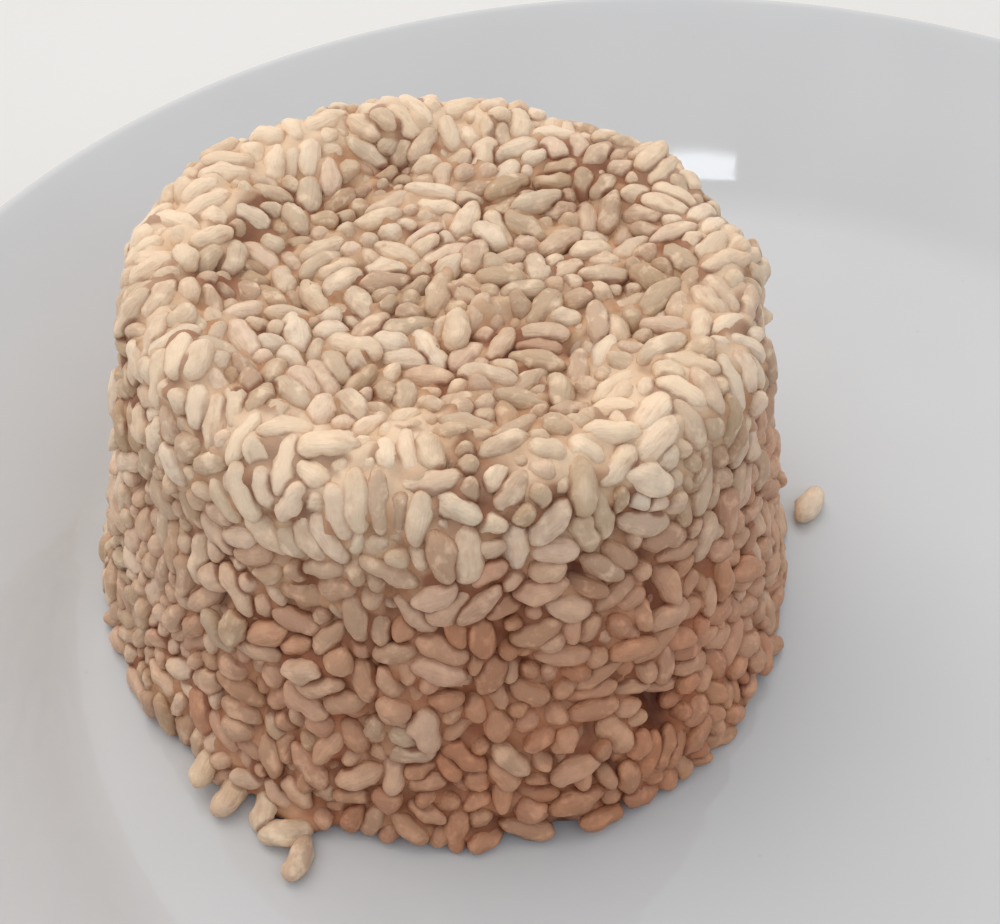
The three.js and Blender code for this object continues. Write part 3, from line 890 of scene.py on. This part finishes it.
def make_web(mould, centre, axis, half):
    """The sticky starch and buried grains that show between the grains."""
    outline = mound_outline()[:-1]
    length = np.concatenate([[0], np.cumsum(np.linalg.norm(np.diff(outline, axis=0), axis=1))])
    at = np.linspace(0, length[-1], WEB_ROWS)
    ring = np.stack([np.interp(at, length, outline[:, k]) for k in (0, 1)], 1)
    place = turned(ring, WEB_COLUMNS).reshape(-1, 3)
    outside, out = mould.at(place)
    place = place - out * outside[:, None]
    grid = cover_depth(place, out, centre, axis, half).reshape(WEB_ROWS, WEB_COLUMNS)
    for _ in range(WEB_SMOOTHING):
        grid = (2 * grid + np.roll(grid, 1, 1) + np.roll(grid, -1, 1)) / 4
        grid[1:-1] = (2 * grid[1:-1] + grid[:-2] + grid[2:]) / 4
    lumps = np.sin(4.2 * place @ SWELL_WAYS.T + SWELL_PHASES).sum(-1)
    tint, stain = patches_and_painted_light(place)
    deep = grid.ravel() + WEB_UNDER + WEB_RISE * tint.clip(-0.75, 0.5) + WEB_LUMPS * lumps
    place = place - out * deep[:, None]
    place[:, 2] = np.maximum(place[:, 2], WEB_LOWEST)
    place = place.reshape(WEB_ROWS, WEB_COLUMNS, 3)
    top = place[0].mean(0)
    low = place[-1].mean(0) * (1, 1, 0) + (0, 0, WEB_LOWEST)
    vertices = np.concatenate([top[None], place[1:].reshape(-1, 3), low[None]])
    rings = WEB_ROWS - 1
    i, j = np.meshgrid(np.arange(rings - 1), np.arange(WEB_COLUMNS), indexing="ij")
    k = (j + 1) % WEB_COLUMNS
    a, b = 1 + i * WEB_COLUMNS, 1 + (i + 1) * WEB_COLUMNS
    quads = np.stack([a + j, b + j, b + k, a + k], -1).reshape(-1, 4)
    j = np.arange(WEB_COLUMNS)
    k = (j + 1) % WEB_COLUMNS
    end = 1 + (rings - 1) * WEB_COLUMNS
    tris = np.concatenate([
        np.stack([0 * j, 1 + j, 1 + k], 1),
        np.stack([0 * j + len(vertices) - 1, end + k, end + j], 1),
    ])
    ob = mesh_object("rice_web", vertices + (MOUND_X, MOUND_Y, WELL_Z), quads, tris, web_material())

    def ends_added(values):
        return np.concatenate([values[:1], values[WEB_COLUMNS:], values[-1:]])

    for key, values in (("deep", deep), ("tint", tint), ("stain", stain)):
        float_attribute(ob.data, key, ends_added(values))
    return ob


def web_material():
    """Starch and buried rice: mottled, brown where bran stains the gaps (on the walls partly painted shade),
    and darker where it lies deep, as painted shade.
    """
    n = Nodes("rice_web")
    place = n.add("ShaderNodeTexCoord").outputs["Object"]
    mottle = n.noise(place, 260.0, 3.0)
    fine = n.noise(place, 1500.0, 3.0)
    body = n.mix(n.between(mottle, 0.35, 0.65), srgb(188, 140, 102), srgb(212, 178, 143))
    body = tinted(n, body)
    brown = n.between(stained_and_shaded(n), 0.0, 1.0, 0.1, 0.85)
    brown = n.math("MULTIPLY", brown, n.between(n.attribute("tint"), -0.7, 0.0, 0.75, 1.0))
    body = n.mix(brown, body, WET_BRAN_AND_SHADE)
    # Painted shade: darker the deeper it lies under the heap's form.
    body = n.mix(n.between(n.attribute("deep"), 1.2, 3.4, 0.0, 0.85), body, CREVICE_SHADE)
    n.put(n.shader.inputs["Base Color"], body)
    wetness(n, n.between(fine, 0.3, 0.7, 0.42, 0.6))
    n.bump(fine, 0.0002, 0.6)
    return n.material


# ---- The plate

def plate_section():
    """The plate's section as (r, z), from the axis under the foot, round the rim, to the axis on the well."""
    edge = RIM_THICKNESS / 2
    slope = math.atan2(PLATE_HEIGHT - RIM_START[1], PLATE_R - RIM_START[0])
    centre = (PLATE_R - edge, PLATE_HEIGHT - edge)
    foot_in = FOOT_R - FOOT_WIDTH
    outer = (RIM_START[0] + 4, RIM_START[1] - 1.77)
    low_edge = (centre[0] + edge * math.sin(slope), centre[1] - edge * math.cos(slope))

    def line(a, b, steps):
        return np.array(a) + np.linspace(0, 1, steps + 1)[1:, None] * (np.array(b) - np.array(a))

    return np.concatenate([
        [(0, FOOT_DEPTH)],
        line((0, FOOT_DEPTH), (foot_in - 0.6, FOOT_DEPTH), 10),
        bezier((foot_in - 0.6, FOOT_DEPTH), (foot_in, FOOT_DEPTH), (foot_in, FOOT_DEPTH),
               (foot_in + 0.25, FOOT_DEPTH - 0.7), 4),
        bezier((foot_in + 0.25, FOOT_DEPTH - 0.7), (foot_in + 0.6, 0.3), (foot_in + 0.8, 0),
               (foot_in + 1.4, 0), 5),
        line((foot_in + 1.4, 0), (FOOT_R - 0.6, 0), 3),
        bezier((FOOT_R - 0.6, 0), (FOOT_R, 0), (FOOT_R + 0.2, 0.2), (FOOT_R + 0.5, 0.9), 5),
        bezier((FOOT_R + 0.5, 0.9), (FOOT_R + 0.8, FOOT_DEPTH - 0.2), (FOOT_R + 1.2, FOOT_DEPTH),
               (FOOT_R + 2.4, FOOT_DEPTH + 0.06), 5),
        bezier((FOOT_R + 2.4, FOOT_DEPTH + 0.06), (FOOT_R + 13, FOOT_DEPTH + 0.1),
               (RIM_START[0] - 2, RIM_START[1] - 4.85), outer, 22),
        line(outer, low_edge, 12),
        arc(centre, edge, slope - math.pi / 2, slope + math.pi / 2, 14)[1:],
        line((centre[0] - edge * math.sin(slope), centre[1] + edge * math.cos(slope)), RIM_START, 14),
        bezier(RIM_START, (RIM_START[0] - 2.5, RIM_START[1] - 1.28), (WELL_R + 2, WELL_Z),
               (WELL_R, WELL_Z), 18),
        line((WELL_R, WELL_Z), (0, WELL_Z), 24),
    ])


PLATE_SIDES = 240


def make_plate():
    """The plate's section, turned round its axis."""
    section = plate_section()
    place = turned(section[1:-1], PLATE_SIDES)
    vertices = np.concatenate([[(0, 0, section[0, 1])], place.reshape(-1, 3), [(0, 0, section[-1, 1])]])
    rows = len(place)
    quads, tris = [], []
    for i in range(rows - 1):
        a, b = 1 + i * PLATE_SIDES, 1 + (i + 1) * PLATE_SIDES
        for j in range(PLATE_SIDES):
            k = (j + 1) % PLATE_SIDES
            quads.append((a + j, a + k, b + k, b + j))
    last = 1 + (rows - 1) * PLATE_SIDES
    for j in range(PLATE_SIDES):
        k = (j + 1) % PLATE_SIDES
        tris.append((0, 1 + k, 1 + j))
        tris.append((len(vertices) - 1, last + j, last + k))
    return mesh_object("plate_body", vertices, np.array(quads), np.array(tris), glaze_material())


GLAZE_IOR = 1.5
# How high bare clay shows on the foot ring, in metres.
BARE_CLAY = (0.00012, 0.0003)


def glaze_material():
    """White glaze: faint clouding, a few pinholes, fine scuffs, and a bare clay ring under the foot."""
    n = Nodes("white_glaze")
    place = n.add("ShaderNodeTexCoord").outputs["Object"]
    cloud = n.noise(place, 14.0, 3.0)
    body = n.mix(n.between(cloud, 0.3, 0.7), srgb(205, 204, 203), srgb(200, 199, 198))
    specks = n.add("ShaderNodeTexVoronoi", feature="F1")
    n.put(specks.inputs["Vector"], place)
    n.put(specks.inputs["Scale"], 130.0)
    spots = n.between(specks.outputs["Distance"], 0.02, 0.05, 0.12, 0.0)
    body = n.mix(spots, body, srgb(150, 140, 128))
    parts = n.add("ShaderNodeSeparateXYZ")
    n.put(parts.inputs[0], place)
    foot = n.between(parts.outputs["Z"], *BARE_CLAY, 1.0, 0.0)
    body = n.mix(foot, body, srgb(205, 196, 182))
    n.put(n.shader.inputs["Base Color"], body)
    scuffs = n.noise(n.stretched(place, (1.0, 6.0, 1.0)), 90.0, 4.0)
    rough = n.between(scuffs, 0.45, 0.8, 0.03, 0.07)
    rough = n.math("ADD", rough, n.math("MULTIPLY", foot, 0.5))
    n.put(n.shader.inputs["Roughness"], rough)
    waves = n.noise(place, 60.0, 1.0)
    n.bump(waves, 0.0001, 0.15)
    n.shader.inputs["IOR"].default_value = GLAZE_IOR
    return n.material


# ---- Stage

FLOOR_REACH = 3.0
FLOOR_UNDER = 0.0002


def make_floor():
    """A pale matt table, just under the foot ring."""
    n = Nodes("floor")
    place = n.add("ShaderNodeTexCoord").outputs["Object"]
    body = n.mix(n.between(n.noise(place, 3.0), 0.3, 0.7), srgb(226, 223, 219), srgb(219, 216, 212))
    n.put(n.shader.inputs["Base Color"], body)
    n.put(n.shader.inputs["Roughness"], 0.8)
    me = bpy.data.meshes.new("floor")
    corners = [(x * FLOOR_REACH, y * FLOOR_REACH, 0) for x, y in ((-1, -1), (1, -1), (1, 1), (-1, 1))]
    me.from_pydata(corners, [], [(0, 1, 2, 3)])
    floor = bpy.data.objects.new("floor", me)
    floor.location.z = -FLOOR_UNDER
    me.materials.append(n.material)
    bpy.context.scene.collection.objects.link(floor)


# Where the lights aim: the middle of the heap, in metres.
MOUND_MIDDLE = (MOUND_X * MM, MOUND_Y * MM, 0.03)
LIGHTS = [
    # name, place, target, size, power, colour, whether it shows in reflections
    ("key", (-0.5, 0.5, 1.15), MOUND_MIDDLE, (1.2, 1.2), 6.8, (1.0, 0.95, 0.9), False),
    ("sky", (0.3, -0.75, 1.1), MOUND_MIDDLE, (0.9, 0.7), 1.2, (0.42, 0.8, 1.0), False),
    # Small and high: the photograph's white window reflection on the rim behind the heap.
    ("window", (0.105, -0.008, 1.5), (0.036, 0.098, 0.012), (0.095, 0.03), 0.08, (0.88, 0.94, 1.0), True),
]


def area_light(name, place, target, size, power, colour, glossy):
    """A lamp at a place, turned to its target."""
    light = bpy.data.lights.new(name, "AREA")
    light.shape = "RECTANGLE"
    light.size, light.size_y = size
    light.energy = power
    light.color = colour
    ob = bpy.data.objects.new(name, light)
    back = (Vector(place) - Vector(target)).normalized()
    across = Vector((0, 1, 0)).cross(back).normalized()
    turn = Matrix((across, back.cross(across), back)).transposed().to_4x4()
    ob.matrix_world = Matrix.Translation(place) @ turn
    ob.visible_camera = False
    ob.visible_glossy = glossy
    bpy.context.scene.collection.objects.link(ob)


# The dome's brightest direction and its colours, from the darkest side to the brightest.
BRIGHT_WAY = (-0.25, 0.42, 0.87)
DOME_LOW = (0.34, 0.4, 0.51, 1.0)
DOME_MIDDLE = (0.81, 0.85, 0.92, 1.0)
DOME_HIGH = (1.0, 0.99, 0.99, 1.0)
DOME_STRENGTH = 0.9


def make_dome():
    """A studio dome: bright and neutral above and behind, dim and cool low down in front."""
    world = bpy.data.worlds.new("studio")
    world.use_nodes = True
    tree = world.node_tree
    background = tree.nodes["Background"]
    way = tree.nodes.new("ShaderNodeTexCoord")
    facing = tree.nodes.new("ShaderNodeVectorMath")
    facing.operation = "DOT_PRODUCT"
    facing.inputs[1].default_value = BRIGHT_WAY
    ramp = tree.nodes.new("ShaderNodeValToRGB")
    low, high = ramp.color_ramp.elements
    low.position, low.color = 0.0, DOME_LOW
    high.position, high.color = 1.0, DOME_HIGH
    middle = ramp.color_ramp.elements.new(0.4)
    middle.color = DOME_MIDDLE
    ramp.color_ramp.interpolation = "EASE"
    spread = tree.nodes.new("ShaderNodeMapRange")
    spread.inputs["From Min"].default_value = -0.5
    tree.links.new(way.outputs["Generated"], facing.inputs[0])
    tree.links.new(facing.outputs["Value"], spread.inputs["Value"])
    tree.links.new(spread.outputs["Result"], ramp.inputs["Fac"])
    tree.links.new(ramp.outputs["Color"], background.inputs["Color"])
    background.inputs["Strength"].default_value = DOME_STRENGTH
    bpy.context.scene.world = world


def make_light():
    make_dome()
    for light in LIGHTS:
        area_light(*light)


CAMERA_PLACE = (-0.0292, -0.1606, 0.1921)
CAMERA_DOWN = math.radians(45.2)
CAMERA_ROLL = math.radians(0.4)
CAMERA_LENS = 66.6
CAMERA_SENSOR = 36.0


def make_camera():
    """The photograph's view: 45 degrees down, along +Y."""
    camera = bpy.data.cameras.new("camera")
    camera.lens = CAMERA_LENS
    camera.sensor_width = CAMERA_SENSOR
    camera.clip_start = 0.01
    camera.dof.use_dof = False
    ob = bpy.data.objects.new("camera", camera)
    ahead = Vector((0, math.cos(CAMERA_DOWN), -math.sin(CAMERA_DOWN)))
    right = Vector((1, 0, 0))
    up = Vector((0, math.sin(CAMERA_DOWN), math.cos(CAMERA_DOWN)))
    side = right * math.cos(CAMERA_ROLL) + up * math.sin(CAMERA_ROLL)
    top = up * math.cos(CAMERA_ROLL) - right * math.sin(CAMERA_ROLL)
    turn = Matrix((side, top, -ahead)).transposed().to_4x4()
    ob.matrix_world = Matrix.Translation(CAMERA_PLACE) @ turn
    bpy.context.scene.collection.objects.link(ob)
    bpy.context.scene.camera = ob


# ---- Putting it together

plate = make_plate()
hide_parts("plate")
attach(plate, "root")
for piece in make_rice():
    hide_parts("rice_mound", "loose_grain")
    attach(piece, "root")
make_floor()
make_light()
make_camera()
bpy.context.scene.view_settings.view_transform = "Standard"
